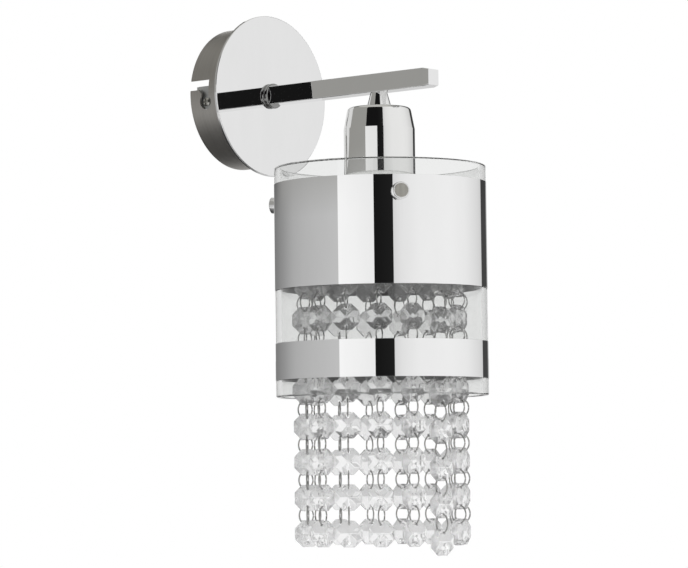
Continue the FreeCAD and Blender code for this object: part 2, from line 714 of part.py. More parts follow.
def make_lampholder_cap():
    bore = "nipple_dia / 2 + fit_gap"
    return keep(turned_part("lampholder_cap", [
        (bore, "-nut_under"), ("holder_dia / 2 - holder_wall", "-nut_under"),
        ("holder_dia / 2", "-(nut_under + holder_wall)"), ("holder_dia / 2", "-cap_base"),
        ("holder_dia / 2 - holder_wall", "-cap_base"),
        ("holder_dia / 2 - holder_wall", "-(nut_under + holder_wall)"),
        (bore, "-(nut_under + holder_wall)")]))


def make_lampholder_body():
    flange_radius = "thread_radius + holder_flange_lip"
    return keep(turned_part("lampholder_body", [
        ("0", "-cap_base"), ("holder_dia / 2", "-cap_base"), ("holder_dia / 2", "-flange_top"),
        (flange_radius, "-flange_top"), (flange_radius, "-carrier_drop"),
        ("thread_radius", "-carrier_drop"), ("thread_radius", "-holder_mouth"),
        ("shell_radius", "-holder_mouth"), ("shell_radius", "-well_top"),
        ("0", "-well_top")]))


def make_contact_shell():
    outside = "shell_radius - fit_gap"
    return keep(turned_part("contact_shell", [
        ("socket_dia / 2", "-shell_top"), (outside, "-shell_top"),
        (outside, "-shell_mouth"), ("socket_dia / 2", "-shell_mouth")]))


def make_centre_contact():
    return keep(turned_part("centre_contact", [
        ("0", "-well_top"), ("contact_dia / 2", "-well_top"),
        ("contact_dia / 4", "-(well_top + contact_room)"),
        ("0", "-(well_top + contact_room)")]))


def make_shade_ring():
    bore = "thread_radius + fit_gap"
    return keep(turned_part("shade_ring", [
        (bore, "-carrier_under"), ("ring_nut_radius", "-carrier_under"),
        ("ring_nut_radius", "-(carrier_under + 2 * carrier_thickness)"),
        ("ring_nut_radius - 2 * carrier_thickness", "-ring_nut_under"),
        (bore, "-ring_nut_under")]))


# ---- shade ----

def make_shade_spider():
    bore = "thread_radius + fit_gap"
    body = turned_part("shade_spider", [
        (bore, "-carrier_drop"), ("hub_radius", "-carrier_drop"),
        ("hub_radius", "-carrier_under"), (bore, "-carrier_under")])
    half = "spider_arm_width / 2"
    flat = new_sketch(body, "XY_Plane", "-carrier_under")
    draw_box(flat, "hub_radius - 2 * carrier_thickness", "tab_face", "-" + half, half)
    arm = pad(body, flat, "carrier_thickness")
    raised = new_sketch(body, "YZ_Plane", "tab_back")
    draw_box(raised, "-" + half, half, "-carrier_under", "-tab_top")
    end = pad(body, raised, "carrier_thickness")
    drill = new_sketch(body, "YZ_Plane", "tab_back")
    draw_circle(drill, "0", "-stud_drop", "stud_dia + 2 * fit_gap")
    hole = pocket(body, drill, "4 * carrier_thickness", midplane=True)
    polar_pattern(body, [arm, end, hole], STUD_COUNT)
    body.Placement.Rotation = Rotation(Vector(0, 0, 1), FIRST_STUD_ANGLE)
    return keep(body)


def make_strand_hoop():
    inside = "chain_radius - hoop_thickness / 2"
    outside = "chain_radius + hoop_thickness / 2"
    body = turned_part("strand_hoop", [
        (inside, "-carrier_under"), (outside, "-carrier_under"),
        (outside, "-hoop_base"), (inside, "-hoop_base")])
    drill = new_sketch(body, "YZ_Plane", "chain_radius")
    draw_circle(drill, "0", "-hook_drop", "hoop_hole_dia")
    hole = pocket(body, drill, "4 * hoop_thickness", midplane=True)
    polar_pattern(body, [hole], CHAIN_COUNT)
    body.Placement.Rotation = Rotation(Vector(0, 0, 1), FIRST_CHAIN_ANGLE)
    return keep(body)


def shade_frame(angle):
    """Turn about the shade's axis, at the height of the arm's axis."""
    spot = Vector(0, -value("shade_offset"), 0)
    return Placement(spot, Rotation(Vector(0, 0, 1), angle))


def stud_frames():
    """One frame per stud: its z axis points outwards from the shade's axis."""
    lie_down = Placement(Vector(0, 0, -value("stud_drop")), Rotation(Vector(0, 1, 0), 90))
    frames = []
    for number in range(STUD_COUNT):
        angle = FIRST_STUD_ANGLE + number * 360 / STUD_COUNT
        frames.append(shade_frame(angle).multiply(lie_down))
    return frames


def turned_unit(label, corners):
    """A piece turned about Z at the origin, to be copied to its places."""
    body = new_body(label)
    sketch = new_sketch(body, "XZ_Plane")
    draw_outline(sketch, corners)
    revolve(body, sketch)
    return body


def make_shade_fasteners():
    stud = turned_unit("shade_stud_unit", [
        ("0", "tab_back - stud_head_height"), ("stud_head_dia / 2", "tab_back - stud_head_height"),
        ("stud_head_dia / 2", "tab_back"), ("stud_dia / 2", "tab_back"),
        ("stud_dia / 2", "stud_end"), ("0", "stud_end")])
    bore = "stud_dia / 2 + fit_gap"
    spacer = turned_unit("shade_spacer_unit", [
        (bore, "tab_face"), ("spacer_dia / 2", "tab_face"),
        ("spacer_dia / 2", "spacer_face"), (bore, "spacer_face")])
    washer = turned_unit("shade_washer_unit", [
        (bore, "band_outside"), ("washer_dia / 2", "band_outside"),
        ("washer_dia / 2", "washer_face"), (bore, "washer_face")])
    gathered("shade_fixings", copies(stud, stud_frames()) + copies(washer, stud_frames()))
    gathered("shade_spacers", copies(spacer, stud_frames()))


def make_thumb_nuts():
    bore = "stud_dia / 2 + fit_gap"
    front = "thumb_foot + thumb_length"
    unit = turned_unit("thumb_nut_unit", [
        (bore, "thumb_foot"), ("thumb_dia / 2", "thumb_foot"),
        ("thumb_dia / 2", front + " - thumb_round"), ("thumb_dia / 2 - thumb_round", front),
        ("0", front), ("0", front + " - thumb_face"), (bore, front + " - thumb_face")])
    for number, frame in enumerate(stud_frames(), start=1):
        gathered("thumb_nut_%d" % number, copies(unit, [frame]))


def drill_for_studs(body):
    """Three holes through a wall that stands round the shade's axis."""
    drill = new_sketch(body, "YZ_Plane", "shade_radius")
    draw_circle(drill, "0", "-stud_drop", "stud_dia + 2 * stud_play")
    hole = pocket(body, drill, "4 * glass_wall", midplane=True)
    polar_pattern(body, [hole], STUD_COUNT)
    body.Placement.Rotation = Rotation(Vector(0, 0, 1), FIRST_STUD_ANGLE)


def make_glass_shade():
    body = turned_part("glass_shade", [
        ("glass_inside", "-shade_drop"), ("shade_radius", "-shade_drop"),
        ("shade_radius", "-shade_base"), ("glass_inside", "-shade_base")])

    def rim(edge, middle):
        at_end = min(abs(middle.z + value("shade_drop")), abs(middle.z + value("shade_base")))
        return at_end < 1e-4
    round_edges(body, body.Tip, rim, "glass_round")
    drill_for_studs(body)
    return keep(body)


def band_corners(top, base):
    return [("shade_radius", "-" + top), ("band_outside", "-" + top),
            ("band_outside", "-" + base), ("shade_radius", "-" + base)]


def make_mirror_bands():
    wide = turned_part("wide_band_unit", band_corners("wide_top", "wide_base"))
    drill_for_studs(wide)
    narrow = turned_part("narrow_band_unit", band_corners("narrow_top", "narrow_base"))
    return gathered("mirror_bands", [wide.Shape.copy(), narrow.Shape.copy()])


# ---- lamp wires ----

def tube_along(points, bends, diameter):
    """A round tube of straight runs joined by arcs that touch them."""
    edges = []
    start = points[0]
    for before, corner, after, bend in zip(points, points[1:], points[2:], bends):
        inwards = (before - corner).normalize()
        onwards = (after - corner).normalize()
        half_turn = (math.pi - inwards.getAngle(onwards)) / 2
        setback = bend * math.tan(half_turn)
        first = corner + inwards * setback
        last = corner + onwards * setback
        middle_line = (inwards + onwards).normalize()
        middle = corner + middle_line * (bend / math.cos(half_turn) - bend)
        edges.append(Part.LineSegment(start, first).toShape())
        edges.append(Part.Arc(first, middle, last).toShape())
        start = last
    edges.append(Part.LineSegment(start, points[-1]).toShape())
    path = Part.Wire(edges)
    first_run = points[1] - points[0]
    section = Part.Wire(Part.Circle(points[0], first_run, diameter / 2).toShape())
    tube = path.makePipeShell([section], True, False)
    expected = math.pi * diameter ** 2 / 4 * path.Length
    if abs(tube.Volume - expected) > 0.01 * expected:
        raise RuntimeError("a wire's volume doesn't match its length")
    return tube


def make_lamp_wires():
    """Two wires from the terminal block through the arm to the lampholder."""
    tubes = []
    block_face = -value("disc_back - strap_thickness - block_depth")
    start = block_face - value("wire_dia")
    block_top = -value("block_top")
    axis = -value("shade_offset")
    turn = value("wire_turn")
    for side in (-1, 1):
        pole = side * value("pole_pitch")
        line = side * value("wire_spacing") / 2
        points = [Vector(pole, start, block_top),
                  Vector(pole, start, block_top + turn),
                  Vector(line, -value("wire_lane"), 0),
                  Vector(line, axis, 0),
                  Vector(line, axis, -value("cap_base"))]
        tubes.append(tube_along(points, [turn, turn, value("wire_bend")], value("wire_dia")))
    return gathered("lamp_wires", tubes)


# ---- chains ----

def bead_point(radius, angle, height):
    """Crystals stand upright: their faces look along Y."""
    turn = math.radians(angle)
    return Vector(radius * math.sin(turn), height, radius * math.cos(turn))


def make_bead_unit():
    """An eight-sided crystal, cut as a star on both faces, with two holes."""
    step = 360 / BEAD_SIDES
    flat = value("bead_size") / 2
    corner = flat / math.cos(math.radians(step / 2))
    peak = value("bead_thickness") / 2
    rim = value("bead_girdle") / 2
    star = value("bead_star")
    fall = (peak - rim) * star * math.cos(math.radians(step / 2)) / corner
    faces = []
    for side in (-1, 1):
        centre = Vector(0, side * peak, 0)
        for number in range(BEAD_SIDES):
            angle = number * step
            inner = bead_point(star, angle, side * (peak - fall))
            next_inner = bead_point(star, angle + step, side * (peak - fall))
            left = bead_point(corner, angle - step / 2, side * rim)
            right = bead_point(corner, angle + step / 2, side * rim)
            faces.append([centre, inner, right, next_inner])
            faces.append([inner, left, right])
    for number in range(BEAD_SIDES):
        left, right = (number - 0.5) * step, (number + 0.5) * step
        faces.append([bead_point(corner, left, rim), bead_point(corner, right, rim),
                      bead_point(corner, right, -rim), bead_point(corner, left, -rim)])
    skins = [Part.Face(Part.makePolygon(points + points[:1])) for points in faces]
    crystal = Part.Solid(Part.Shell(skins))
    if crystal.Volume < 0:
        crystal.reverse()
    for side in (-1, 1):
        mouth = Vector(0, -2 * peak, side * value("bead_hole_pitch") / 2)
        drill = Part.makeCylinder(value("bead_hole_dia") / 2, 4 * peak, mouth, Vector(0, 1, 0))
        crystal = crystal.cut(drill)
    unit = doc.addObject("Part::Feature", "bead_unit")
    unit.Shape = crystal
    return unit


def make_link_unit(label, diameter):
    """A wire ring in the plane square to the crystals."""
    ring = doc.addObject("Part::Torus", label)
    ring.setExpression("Radius1", sized(diameter + " / 2"))
    ring.setExpression("Radius2", sized("link_wire / 2"))
    ring.Placement = Placement(Vector(), Rotation(Vector(0, 0, 1), Vector(1, 0, 0)))
    doc.recompute()
    return ring


def make_chain(number, bead, link, link_dia):
    """One chain: a ring in the hoop, then crystals and rings in turn."""
    angle = FIRST_CHAIN_ANGLE + (number - 1) * 360 / CHAIN_COUNT
    turn = CHAIN_TURNS[number - 1]
    frame = shade_frame(angle)
    facing = Rotation(Vector(0, 0, 1), 90)
    half_bead = value("bead_hole_pitch") / 2
    bead_places, link_places = [], []
    level = -value("hook_drop") - link_dia / 2
    for place in range(2 * BEADS_PER_CHAIN):
        spot = Vector(value("chain_radius"), 0, level)
        share = min(1, place / TURNING_PLACES)
        twist = Rotation(Vector(0, 0, 1), share * turn).multiply(facing)
        here = frame.multiply(Placement(spot, twist))
        (link_places if place % 2 == 0 else bead_places).append(here)
        level -= link_dia / 2 + half_bead
    gathered("strand_%02d_beads" % number, copies(bead, bead_places))
    gathered("strand_%02d_rings" % number, copies(link, link_places))


def make_chains():
    bead = make_bead_unit()
    plain = make_link_unit("link_unit", "link_dia")
    loose = make_link_unit("loose_link_unit", "(link_dia + loose_link_extra)")
    for number in range(1, CHAIN_COUNT + 1):
        if number == LOOSE_CHAIN:
            make_chain(number, bead, loose, value("link_dia + loose_link_extra"))
        else:
            make_chain(number, bead, plain, value("link_dia"))


# ---- build, check and write ----

make_wall_bracket()
make_canopy_screws()
make_earth_screw()
make_canopy_drum()
make_canopy_disc()
make_arm_collar()
make_arm_fixing_nut()
make_terminal_strap()
make_terminal_block()
make_terminal_screws()
make_lamp_wires()
make_arm_tube()
make_arm_end_plug()
make_holder_cone()
make_holder_fixing()
make_holder_cup()
make_lampholder_cap()
make_lampholder_body()
make_contact_shell()
make_centre_contact()
make_shade_ring()
make_shade_spider()
make_strand_hoop()
make_shade_fasteners()
make_thumb_nuts()
make_glass_shade()
make_mirror_bands()
make_chains()

doc.recompute()
for item in doc.Objects:
    if "Invalid" in item.State or "Error" in item.State:
        raise RuntimeError(item.Name + " failed to build")
for item in parts:
    if item.Shape.isNull() or not item.Shape.isValid() or not item.Shape.Solids:
        raise RuntimeError(item.Label + " has no valid solid")

os.makedirs("parts", exist_ok=True)
for item in parts:
    item.Shape.exportStep("parts/" + item.Label + ".step")
    box = item.Shape.optimalBoundingBox(False)
    print("%-20s %2d solids  x %7.2f %7.2f  y %7.2f %7.2f  z %7.2f %7.2f" % (
        item.Label, len(item.Shape.Solids), box.XMin, box.XMax, box.YMin, box.YMax,
        box.ZMin, box.ZMax))
print(len(parts), "sub-parts")
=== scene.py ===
import math

import bmesh
import bpy
from mathutils import Matrix, Vector


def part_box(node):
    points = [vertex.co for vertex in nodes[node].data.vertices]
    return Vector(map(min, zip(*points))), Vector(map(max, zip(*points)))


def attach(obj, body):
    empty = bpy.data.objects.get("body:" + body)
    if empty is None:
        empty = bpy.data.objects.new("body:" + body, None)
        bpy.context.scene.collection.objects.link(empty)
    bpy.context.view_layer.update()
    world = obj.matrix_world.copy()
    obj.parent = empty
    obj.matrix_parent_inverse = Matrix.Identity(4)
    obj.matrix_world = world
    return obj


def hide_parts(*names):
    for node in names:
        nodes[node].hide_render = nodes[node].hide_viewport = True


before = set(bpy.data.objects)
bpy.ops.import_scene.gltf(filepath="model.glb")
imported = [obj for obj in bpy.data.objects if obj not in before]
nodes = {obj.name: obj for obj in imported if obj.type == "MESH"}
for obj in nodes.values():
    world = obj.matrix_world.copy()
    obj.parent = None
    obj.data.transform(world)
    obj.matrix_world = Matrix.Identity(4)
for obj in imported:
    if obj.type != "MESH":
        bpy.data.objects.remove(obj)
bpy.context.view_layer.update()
scene = bpy.context.scene

MM = 0.001
SHADE_AXIS = Vector((0.0, -0.1042, 0.0))    # a point on the shade's upright axis


# ---- camera: the photograph's own, fitted to the object's edges ----

CAMERA_PLACE = Vector((-1.30863, -1.21504, -0.21718))
CAMERA_YAW = -49.0
CAMERA_PITCH = 3.606
CAMERA_ROLL = -0.674
CAMERA_LENS = 166.1
SENSOR_WIDTH = 36.0


def add_camera():
    yaw = math.radians(CAMERA_YAW)
    pitch = math.radians(CAMERA_PITCH)
    roll = math.radians(CAMERA_ROLL)
    forward = Vector((-math.sin(yaw) * math.cos(pitch), math.cos(yaw) * math.cos(pitch),
                      math.sin(pitch)))
    level = Vector((math.cos(yaw), math.sin(yaw), 0.0))
    upright = level.cross(forward)
    right = math.cos(roll) * level + math.sin(roll) * upright
    up = -math.sin(roll) * level + math.cos(roll) * upright
    turn = Matrix((right, up, -forward)).transposed().to_4x4()
    data = bpy.data.cameras.new("camera")
    data.sensor_width = SENSOR_WIDTH
    data.lens = CAMERA_LENS
    data.clip_start = 0.01
    data.clip_end = 60.0
    camera = bpy.data.objects.new("camera", data)
    camera.matrix_world = Matrix.Translation(CAMERA_PLACE) @ turn
    scene.collection.objects.link(camera)
    scene.camera = camera


add_camera()


# ---- node helpers ----

def new_material(name):
    material = bpy.data.materials.new(name)
    material.use_nodes = True
    tree = material.node_tree
    tree.nodes.clear()
    shader = tree.nodes.new("ShaderNodeBsdfPrincipled")
    output = tree.nodes.new("ShaderNodeOutputMaterial")
    tree.links.new(shader.outputs["BSDF"], output.inputs["Surface"])
    return material, tree, shader


def coordinates(tree, scale=(1, 1, 1)):
    """Places on the object, in metres, stretched by a scale."""
    place = tree.nodes.new("ShaderNodeTexCoord")
    mapping = tree.nodes.new("ShaderNodeMapping")
    mapping.inputs["Scale"].default_value = scale
    tree.links.new(place.outputs["Object"], mapping.inputs["Vector"])
    return mapping.outputs["Vector"]


def noise(tree, vector, scale, detail=3.0, roughness=0.5):
    """A cloudy pattern from 0 to 1."""
    node = tree.nodes.new("ShaderNodeTexNoise")
    node.inputs["Scale"].default_value = scale
    node.inputs["Detail"].default_value = detail
    node.inputs["Roughness"].default_value = roughness
    tree.links.new(vector, node.inputs["Vector"])
    return node.outputs["Fac"]


def spread(tree, value, low, high, start=0.3, end=0.7):
    """Turn a 0 to 1 pattern into a range of values."""
    node = tree.nodes.new("ShaderNodeMapRange")
    node.inputs["From Min"].default_value = start
    node.inputs["From Max"].default_value = end
    node.inputs["To Min"].default_value = low
    node.inputs["To Max"].default_value = high
    tree.links.new(value, node.inputs["Value"])
    return node.outputs["Result"]


def tones(tree, value, stops):
    """Turn a 0 to 1 pattern into colours, given as (place, colour) stops."""
    ramp = tree.nodes.new("ShaderNodeValToRGB")
    elements = ramp.color_ramp.elements
    while len(elements) < len(stops):
        elements.new(0.5)
    for element, (place, colour) in zip(elements, stops):
        element.position = place
        element.color = (*colour, 1.0)
    tree.links.new(value, ramp.inputs["Fac"])
    return ramp.outputs["Color"]


def bump(tree, value, depth, strength):
    """Turn a pattern into relief of a depth in metres."""
    node = tree.nodes.new("ShaderNodeBump")
    node.inputs["Distance"].default_value = depth
    node.inputs["Strength"].default_value = strength
    tree.links.new(value, node.inputs["Height"])
    return node.outputs["Normal"]


def set_material(material, *names):
    """Give CAD nodes a material."""
    for name in names:
        mesh = nodes[name].data
        mesh.materials.clear()
        mesh.materials.append(material)


# ---- stage: floor, studio cards, lamps, world ----

FLOOR_LEVEL = -0.75
FLOOR_HALF = 4.0


def square(half, level):
    """The corners of a level square round the origin."""
    return [(-half, -half, level), (half, -half, level), (half, half, level),
            (-half, half, level)]


def add_floor():
    mesh = bpy.data.meshes.new("floor")
    mesh.from_pydata(square(FLOOR_HALF, FLOOR_LEVEL), [], [(0, 1, 2, 3)])
    floor = bpy.data.objects.new("floor", mesh)
    scene.collection.objects.link(floor)
    material, tree, shader = new_material("floor_paint")
    grain = noise(tree, coordinates(tree), 40.0, detail=4.0)
    colour = tones(tree, grain, [(0.3, (0.88, 0.88, 0.88)), (0.7, (0.91, 0.91, 0.91))])
    tree.links.new(colour, shader.inputs["Base Color"])
    shader.inputs["Roughness"].default_value = 0.7
    mesh.materials.append(material)


def card_material(name):
    """A board that glows evenly, its tone read from the vertices."""
    material = bpy.data.materials.new(name)
    material.use_nodes = True
    tree = material.node_tree
    tree.nodes.clear()
    tint = tree.nodes.new("ShaderNodeVertexColor")
    tint.layer_name = "tone"
    glow = tree.nodes.new("ShaderNodeEmission")
    output = tree.nodes.new("ShaderNodeOutputMaterial")
    tree.links.new(tint.outputs["Color"], glow.inputs["Color"])
    tree.links.new(glow.outputs["Emission"], output.inputs["Surface"])
    return material


# Boards stand round the object, and only reflections see them. A stop is an angle from the
# camera's side, growing to the camera's right, and a tone. The bands on the glass reflect the
# lower stops, and the arm and the cup above them the upper stops.
CARD_RADIUS = 2.6
CARD_STEP = 4                               # degrees
CARD_FOOT, BAND_TOP, ARM_BASE, CARD_TOP = -3.0, 0.14, 0.24, 3.0
WHITE_TOP = 0.6
UNDER_BOARD = (-0.7, -0.05)
TOP_HALF = 2.8
GREY_START, GREY_END = -168, -46
FLAG_START, FLAG_END = -7, 13.3
EDGE_START, EDGE_END = 138, 160
BACK_START, BACK_END = 168, 192
BLACK = 0.008
PLAIN = (1.0, 1.0, 1.0)
WARM = (1.0, 0.99, 0.945)
CAMERA_SIDE = math.degrees(math.atan2(CAMERA_PLACE.y - SHADE_AXIS.y, CAMERA_PLACE.x))


def tone_at(stops, angle):
    """The tone between two stops."""
    for (a, start), (b, end) in zip(stops, stops[1:]):
        if a <= angle <= b:
            return start + (end - start) * (angle - a) / (b - a)
    return stops[-1][1]


def stand_card(name, verts, faces, shades):
    """A card that only reflections see, with a (tone, tint) for each corner."""
    mesh = bpy.data.meshes.new(name)
    mesh.from_pydata(verts, [], faces)
    layer = mesh.color_attributes.new("tone", "FLOAT_COLOR", "POINT")
    for item, (tone, tint) in zip(layer.data, shades):
        item.color = (tone * tint[0], tone * tint[1], tone * tint[2], 1.0)
    mesh.materials.append(card_material(name + "_paint"))
    card = bpy.data.objects.new(name, mesh)
    scene.collection.objects.link(card)
    card.visible_camera = False
    card.visible_diffuse = False
    card.visible_transmission = False
    card.visible_shadow = False


def add_card(name, stops, upper_stops=None, levels=(CARD_FOOT, BAND_TOP, ARM_BASE, CARD_TOP),
             upper_tint=PLAIN):
    """A curved board. The lower half of its levels takes the stops, the rest the upper stops."""
    upper_stops = upper_stops or stops
    verts, faces, shades = [], [], []
    first, last = stops[0][0], stops[-1][0]
    steps = max(2, round((last - first) / CARD_STEP))
    rows = len(levels)
    for step in range(steps + 1):
        angle = first + (last - first) * step / steps
        turn = math.radians(CAMERA_SIDE + angle)
        x = CARD_RADIUS * math.cos(turn)
        y = SHADE_AXIS.y + CARD_RADIUS * math.sin(turn)
        for row, level in enumerate(levels):
            verts.append((x, y, level))
            if row < rows / 2:
                shades.append((tone_at(stops, angle), PLAIN))
            else:
                shades.append((tone_at(upper_stops, angle), upper_tint))
        if step:
            for row in range(rows - 1):
                i = rows * step + row
                faces.append((i - rows, i, i + 1, i + 1 - rows))
    stand_card(name, verts, faces, shades)


def add_cards():
    add_card("black_flag", [(FLAG_START, BLACK), (FLAG_END, 0.014)])
    add_card("right_board", [(FLAG_END, 0.72), (22, 0.82), (40, 0.90), (80, 0.92), (103, 0.88),
                             (129, 0.73), (EDGE_START, 0.64)])
    add_card("edge_flag", [(EDGE_START, 0.06), (EDGE_END, 0.06)],
             [(EDGE_START, 0.04), (EDGE_END, 0.04)])
    add_card("edge_board", [(EDGE_END, 0.4), (BACK_START, 0.5)],
             [(EDGE_END, 0.3), (BACK_START, 0.4)])
    add_card("grey_board", [(GREY_START, 0.20), (-150, 0.23), (-129, 0.31), (-108, 0.43),
                            (-91, 0.48), (-70, 0.52), (GREY_END, 0.56)],
             [(GREY_START, 0.06), (-150, 0.10), (-129, 0.33), (GREY_END, 0.345)],
             upper_tint=WARM)
    add_card("white_board", [(GREY_END, 1.0), (-30, 0.96), (FLAG_START, 0.90)],
             [(GREY_END, 0.92), (FLAG_START, 0.88)], (CARD_FOOT, BAND_TOP, ARM_BASE, WHITE_TOP))
    add_card("upper_flag", [(GREY_END, BLACK), (FLAG_START, BLACK)], None, (WHITE_TOP, CARD_TOP))
    add_card("under_board", [(BACK_START, 0.66), (BACK_END, 0.66)], None, UNDER_BOARD)
    add_floor_flag()
    stand_card("top_board", square(TOP_HALF, CARD_TOP), [(0, 1, 2, 3)], [(0.55, WARM)] * 4)


FLAG_MIDDLE = Vector((-0.1, 1.0))
FLAG_SIDES = 48
FLAG_RINGS = [(0.55, 0.05), (0.85, 0.22), (1.3, 0.78)]      # radius and tone
FLAG_CENTRE_TONE = 0.03
FLAG_HEIGHT = 0.01


def add_floor_flag():
    """A dark patch on the floor behind the object, fading out to the floor's own tone."""
    level = FLOOR_LEVEL + FLAG_HEIGHT
    verts = [(FLAG_MIDDLE.x, FLAG_MIDDLE.y, level)]
    faces = []
    shades = [(FLAG_CENTRE_TONE, PLAIN)]
    for ring, (radius, tone) in enumerate(FLAG_RINGS):
        first = 1 + ring * FLAG_SIDES
        for side in range(FLAG_SIDES):
            turn = 2 * math.pi * side / FLAG_SIDES
            verts.append((FLAG_MIDDLE.x + radius * math.cos(turn),
                          FLAG_MIDDLE.y + radius * math.sin(turn), level))
            shades.append((tone, PLAIN))
            here, there = first + side, first + (side + 1) % FLAG_SIDES
            if ring == 0:
                faces.append((0, here, there))
            else:
                faces.append((here - FLAG_SIDES, here, there, there - FLAG_SIDES))
    stand_card("floor_flag", verts, faces, shades)


LAMP_TARGET = Vector((0.0, -0.08, -0.12))
LAMP_PLACE = Vector((-1.3, -1.6, 1.5))
LAMP_SIDE = 1.0
LAMP_POWER = 14.0
WORLD_STRENGTH = 0.7


def add_lamp():
    data = bpy.data.lights.new("key_lamp", "AREA")
    data.shape = "RECTANGLE"
    data.size = LAMP_SIDE
    data.size_y = LAMP_SIDE
    data.energy = LAMP_POWER
    lamp = bpy.data.objects.new("key_lamp", data)
    lamp.location = LAMP_PLACE
    lamp.rotation_euler = (LAMP_TARGET - LAMP_PLACE).to_track_quat("-Z", "Y").to_euler()
    lamp.visible_glossy = False
    scene.collection.objects.link(lamp)


def add_world():
    """Soft light all round, and plain white for the camera, reflections and glass."""
    world = bpy.data.worlds.new("studio")
    scene.world = world
    world.use_nodes = True
    tree = world.node_tree
    tree.nodes.clear()
    path = tree.nodes.new("ShaderNodeLightPath")
    soft = tree.nodes.new("ShaderNodeBackground")
    soft.inputs["Color"].default_value = (1.0, 1.0, 1.0, 1.0)
    soft.inputs["Strength"].default_value = WORLD_STRENGTH
    white = tree.nodes.new("ShaderNodeBackground")
    white.inputs["Color"].default_value = (1.0, 1.0, 1.0, 1.0)
    white.inputs["Strength"].default_value = 1.0
    seen = tree.nodes.new("ShaderNodeMath")
    seen.operation = "MAXIMUM"
    seen_through = tree.nodes.new("ShaderNodeMath")
    seen_through.operation = "MAXIMUM"
    mix = tree.nodes.new("ShaderNodeMixShader")
    output = tree.nodes.new("ShaderNodeOutputWorld")
    link = tree.links.new
    link(path.outputs["Is Camera Ray"], seen.inputs[0])
    link(path.outputs["Is Glossy Ray"], seen.inputs[1])
    link(seen.outputs["Value"], seen_through.inputs[0])
    link(path.outputs["Is Transmission Ray"], seen_through.inputs[1])
    link(seen_through.outputs["Value"], mix.inputs["Fac"])
    link(soft.outputs["Background"], mix.inputs[1])
    link(white.outputs["Background"], mix.inputs[2])
    link(mix.outputs["Shader"], output.inputs["Surface"])


add_floor()
add_cards()
add_world()
add_lamp()


# ---- materials ----

def polished_metal(name, colour, rough, mark=0.02, wave=0.00002):
    """Plated metal: hardly any texture, a faint waviness and soft wipe marks."""
    material, tree, shader = new_material(name)
    shader.inputs["Metallic"].default_value = 1.0
    smear = noise(tree, coordinates(tree, (1, 1, 0.3)), 90.0, detail=5.0, roughness=0.6)
    ripple = noise(tree, coordinates(tree), 60.0, detail=1.0)
    darker = tuple(0.985 * c for c in colour)
    tree.links.new(tones(tree, smear, [(0.35, darker), (0.65, colour)]),
                   shader.inputs["Base Color"])
    tree.links.new(spread(tree, smear, rough, rough + mark, start=0.45, end=0.75),
                   shader.inputs["Roughness"])
    tree.links.new(bump(tree, ripple, wave, 0.3), shader.inputs["Normal"])
    return material


def brushed_metal(name, colour, rough, stretch, spread_rough=0.12, depth=0.00004):
    """Satin plating: fine lines where the belt ran, with soft darker clouds over them."""
    material, tree, shader = new_material(name)
    shader.inputs["Metallic"].default_value = 1.0
    lines = noise(tree, coordinates(tree, stretch), 1.0, detail=6.0, roughness=0.7)
    clouds = noise(tree, coordinates(tree), 45.0)
    darker = tuple(0.84 * c for c in colour)
    lighter = tuple(min(1.0, 1.10 * c) for c in colour)
    fine = tones(tree, lines, [(0.3, darker), (0.7, lighter)])
    broad = tones(tree, clouds, [(0.35, (0.93, 0.92, 0.91)), (0.65, (1.0, 1.0, 1.0))])
    mix = tree.nodes.new("ShaderNodeMix")
    mix.data_type = "RGBA"
    mix.blend_type = "MULTIPLY"
    mix.inputs[0].default_value = 1.0
    tree.links.new(fine, mix.inputs[6])
    tree.links.new(broad, mix.inputs[7])
    tree.links.new(mix.outputs[2], shader.inputs["Base Color"])
    tree.links.new(spread(tree, lines, rough, rough + spread_rough), shader.inputs["Roughness"])
    tree.links.new(bump(tree, lines, depth, 0.35), shader.inputs["Normal"])
    return material


def cast_metal(name, colour, stain, rough, grain=140.0):
    """Plated or bare stock: crystalline patches, a few stains and fine scratches."""
    material, tree, shader = new_material(name)
    shader.inputs["Metallic"].default_value = 1.0
    patches = tree.nodes.new("ShaderNodeTexVoronoi")
    patches.inputs["Scale"].default_value = grain
    tree.links.new(coordinates(tree), patches.inputs["Vector"])
    stains = noise(tree, coordinates(tree), 70.0, detail=6.0, roughness=0.65)
    scratches = noise(tree, coordinates(tree, (40, 900, 900)), 1.0)
    tree.links.new(tones(tree, stains, [(0.35, stain), (0.6, colour)]),
                   shader.inputs["Base Color"])
    tree.links.new(spread(tree, patches.outputs["Distance"], rough, rough + 0.18, start=0.0,
                          end=0.8), shader.inputs["Roughness"])
    tree.links.new(bump(tree, scratches, 0.00003, 0.4), shader.inputs["Normal"])
    return material


def moulded(name, colour, fleck, rough, scale=2500.0, patches=0.45):
    """Moulded or fired stock: a fine grain, small flecks and a gently uneven gloss."""
    material, tree, shader = new_material(name)
    grain = noise(tree, coordinates(tree), scale, detail=2.0)
    flecks = noise(tree, coordinates(tree), scale / 6, detail=5.0, roughness=0.7)
    gloss = noise(tree, coordinates(tree), 90.0, detail=2.0)
    tree.links.new(tones(tree, flecks, [(patches - 0.12, fleck), (patches, colour)]),
                   shader.inputs["Base Color"])
    tree.links.new(bump(tree, grain, 0.00003, 0.4), shader.inputs["Normal"])
    tree.links.new(spread(tree, gloss, rough, rough + 0.12), shader.inputs["Roughness"])
    return material


GLASS_IOR = 1.5
GLASS_HAZE = 0.01


def clear_glass(name, colour, clear=1.0):
    """Clear glass with a breath of haze in places."""
    material, tree, shader = new_material(name)
    shader.inputs["Base Color"].default_value = (*colour, 1.0)
    shader.inputs["Transmission Weight"].default_value = clear
    shader.inputs["IOR"].default_value = GLASS_IOR
    haze = noise(tree, coordinates(tree), 150.0, detail=4.0)
    tree.links.new(spread(tree, haze, 0.0, GLASS_HAZE, start=0.5, end=0.8),
                   shader.inputs["Roughness"])
    return material


